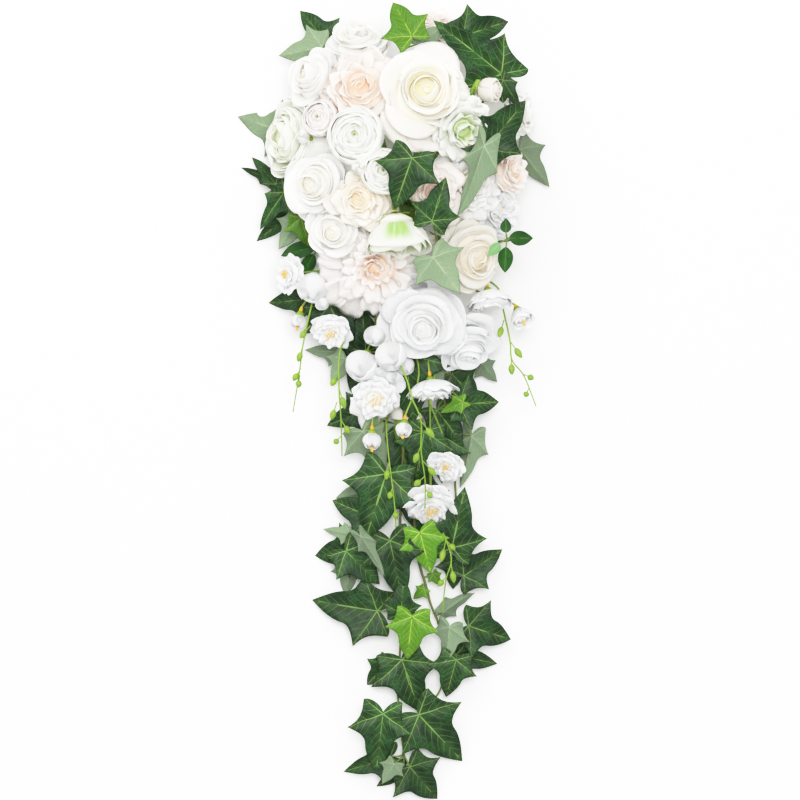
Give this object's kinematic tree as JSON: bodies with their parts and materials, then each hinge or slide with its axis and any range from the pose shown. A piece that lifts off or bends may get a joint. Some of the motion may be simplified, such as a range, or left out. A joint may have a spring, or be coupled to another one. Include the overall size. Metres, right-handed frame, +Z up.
{
  "type": "bridal bouquet",
  "caption": "Cascading bridal bouquet of white, cream and blush fabric roses with cherry blossoms, green buds and trailing ivy, lying on its back",
  "frame": {"origin": "centre of the bounding box in X and Y, on the surface that the bouquet lies on", "axes": "+Y from the trailing ivy tips to the top of the flower head, +Z up out of the flowers' faces, +X to the bouquet's right as seen from the front"},
  "size_m": [0.2817, 0.7094, 0.148],
  "materials": {
    "cream": "matt cream silk petals",
    "white": "matt white silk petals",
    "blush": "matt blush silk petals",
    "champagne": "matt champagne silk petals",
    "ivory": "matt ivory silk petals with a green tint",
    "stem": "green stems",
    "ivy": "dark green leaves with pale veins",
    "ruscus": "mid green narrow leaves",
    "bud": "lime green buds",
    "ribbon": "ivory satin ribbon"
  },
  "bodies": {
    "root": {"blossom_spray_centre": "white", "blossom_spray_left": "white", "blossom_spray_low": "white", "blossom_spray_right": "white", "bound_stems": "stem", "bud_cluster_centre": "white", "bud_cluster_left": "white", "bud_strand_centre": "bud", "bud_strand_far_left": "bud", "bud_strand_inner": "bud", "bud_strand_left": "bud", "bud_strand_low": "bud", "bud_strand_right": "bud", "bud_white_centre": "white", "bud_white_left": "white", "dahlia_blush": "blush", "ivy_sprig_centre": "ivy", "ivy_sprig_far_right": "ivy", "ivy_sprig_left": "ivy", "ivy_sprig_left_low": "ivy", "ivy_sprig_low": "ivy", "ivy_sprig_lower_left": "ivy", "ivy_sprig_right": "ivy", "ivy_sprig_top": "ivy", "ivy_sprig_top_left": "ivy", "ivy_sprig_top_right": "ivy", "ivy_vine_centre": "ivy", "ivy_vine_left": "ivy", "ivy_vine_low": "ivy", "ivy_vine_right": "ivy", "lisianthus_green": "ivory", "peony_ivory_left": "ivory", "ranunculus_blush": "blush", "ranunculus_green_eye": "white", "ranunculus_white": "white", "ribbon_wrap": "ribbon", "rose_blush_back": "blush", "rose_blush_centre": "blush", "rose_blush_right": "blush", "rose_blush_top": "blush", "rose_champagne": "champagne", "rose_cream_large": "cream", "rose_cream_right": "cream", "rose_white_far_right": "white", "rose_white_large": "white", "rose_white_left": "white", "rose_white_lower_left": "white", "rose_white_lower_right": "white", "rose_white_right": "white", "rose_white_top": "white", "rose_white_upper_left": "white", "rosebud_right": "cream", "ruffled_white_right": "white", "ruscus_sprig_left": "ruscus", "ruscus_sprig_right": "ruscus", "tulip_green_streak": "ivory"}
  },
  "joints": []
}
